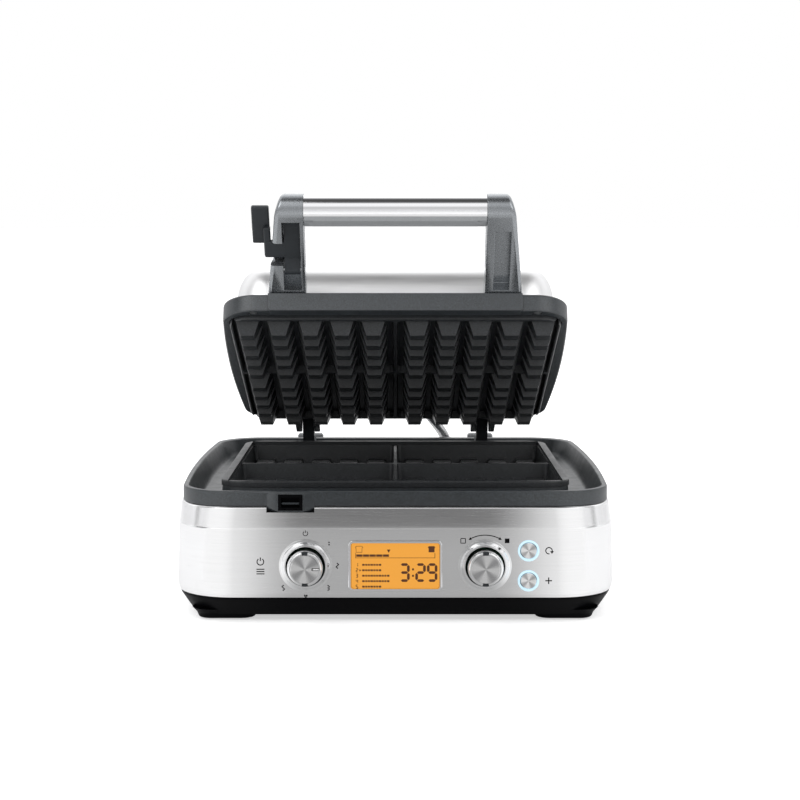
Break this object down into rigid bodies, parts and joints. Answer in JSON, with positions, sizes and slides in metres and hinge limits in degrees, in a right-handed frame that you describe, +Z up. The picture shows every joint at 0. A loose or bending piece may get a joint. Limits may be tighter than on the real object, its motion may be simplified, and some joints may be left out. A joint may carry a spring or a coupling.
{
  "type": "waffle maker",
  "caption": "Countertop waffle maker with a hinged lid and handle latch, a drip moat round square waffle plates, and a front panel with knobs, a display and push buttons",
  "frame": {"origin": "centre of the footprint, on the surface that the rubber feet stand on", "axes": "+Z up, -Y is the front panel that faces the user, +X is the user's right"},
  "size_m": [0.4106, 0.449, 0.3853],
  "materials": {
    "brushed_steel": "brushed",
    "polished_steel": "polished",
    "spun_steel": "spun",
    "plain_steel": "plain",
    "plain_aluminium": "plain",
    "heater_steel": "heat-darkened",
    "satin_silver": "satin metallised",
    "satin_casting": "satin",
    "textured_casting": "fine textured coating",
    "dark_casting": "dark coated",
    "non_stick": "non-stick coating",
    "black_plastic": "satin",
    "dark_plastic": "satin",
    "grey_plastic": "satin",
    "rubber": "matt",
    "lit_ring": "glowing",
    "amber_window": "glossy, lit",
    "board_green": "solder mask",
    "sleeve_metal": "braided"
  },
  "bodies": {
    "base": {"steel_wrap": "brushed_steel", "catch_bar": "plain_steel", "temperature_sensor": "plain_steel", "hinge_bracket_left": "plain_steel", "hinge_bracket_right": "plain_steel", "hinge_pin_left": "plain_steel", "hinge_pin_right": "plain_steel", "lower_heat_shield": "plain_aluminium", "lower_heating_element": "heater_steel", "knob_bezel_left": "satin_silver", "knob_bezel_right": "satin_silver", "display_bezel": "satin_silver", "moat_frame": "textured_casting", "lower_plate": "non_stick", "base_tray": "black_plastic", "catch_insert": "black_plastic", "cord_gland": "black_plastic", "conduit_socket": "black_plastic", "encoder_left": "dark_plastic", "encoder_right": "dark_plastic", "button_switch_upper": "dark_plastic", "button_switch_lower": "dark_plastic", "display_module": "dark_plastic", "hinge_cover_left": "grey_plastic", "hinge_cover_right": "grey_plastic", "rubber_foot_front_left": "rubber", "rubber_foot_front_right": "rubber", "rubber_foot_rear_left": "rubber", "rubber_foot_rear_right": "rubber", "button_ring_upper": "lit_ring", "button_ring_lower": "lit_ring", "display_window": "amber_window", "control_board": "board_green", "power_board": "board_green", "conduit": "sleeve_metal"},
    "lid": {"lid_frame": "textured_casting", "lid_cover": "brushed_steel", "upper_plate": "non_stick", "upper_heating_element": "heater_steel", "upper_heat_shield": "plain_aluminium", "thermal_cutout": "plain_steel", "hinge_arm_left": "dark_casting", "hinge_arm_right": "dark_casting", "handle_arm_left": "satin_casting", "handle_arm_right": "satin_casting", "handle_tube": "polished_steel", "handle_grip_strip": "grey_plastic", "lid_screw_left": "plain_steel", "lid_screw_right": "plain_steel", "latch_pin": "plain_steel"},
    "latch": {"latch_lever": "dark_plastic"},
    "left_knob": {"knob_left": "satin_silver", "knob_face_left": "spun_steel", "encoder_shaft_left": "plain_steel"},
    "right_knob": {"knob_right": "satin_silver", "knob_face_right": "spun_steel", "encoder_shaft_right": "plain_steel"},
    "upper_button": {"button_upper": "spun_steel"},
    "lower_button": {"button_lower": "spun_steel"}
  },
  "joints": [
    {"name": "lid_open", "type": "hinge", "parent": "base", "child": "lid", "pos_m": [0, 0.1805, 0.1115], "axis": [-1, 0, 0], "range_deg": [-24.6, 75.4], "deforming": ["conduit"]},
    {"name": "latch_swing", "type": "hinge", "parent": "lid", "child": "latch", "pos_m": [-0.094, -0.14459, 0.31678], "axis": [1, 0, 0], "range_deg": [0, 122.7]},
    {"name": "left_knob_turn", "type": "hinge", "parent": "base", "child": "left_knob", "pos_m": [-0.08041, -0.2065, 0.0535], "axis": [0, 1, 0], "range_deg": [-90, 135]},
    {"name": "right_knob_turn", "type": "hinge", "parent": "base", "child": "right_knob", "pos_m": [0.08041, -0.2065, 0.0535], "axis": [0, 1, 0], "continuous": true},
    {"name": "upper_button_press", "type": "slide", "parent": "base", "child": "upper_button", "axis": [0, 1, 0], "range_m": [0, 0.0015], "stiffness_N_per_m": 1200, "springref_m": -0.0006},
    {"name": "lower_button_press", "type": "slide", "parent": "base", "child": "lower_button", "axis": [0, 1, 0], "range_m": [0, 0.0015], "stiffness_N_per_m": 1200, "springref_m": -0.0006}
  ]
}
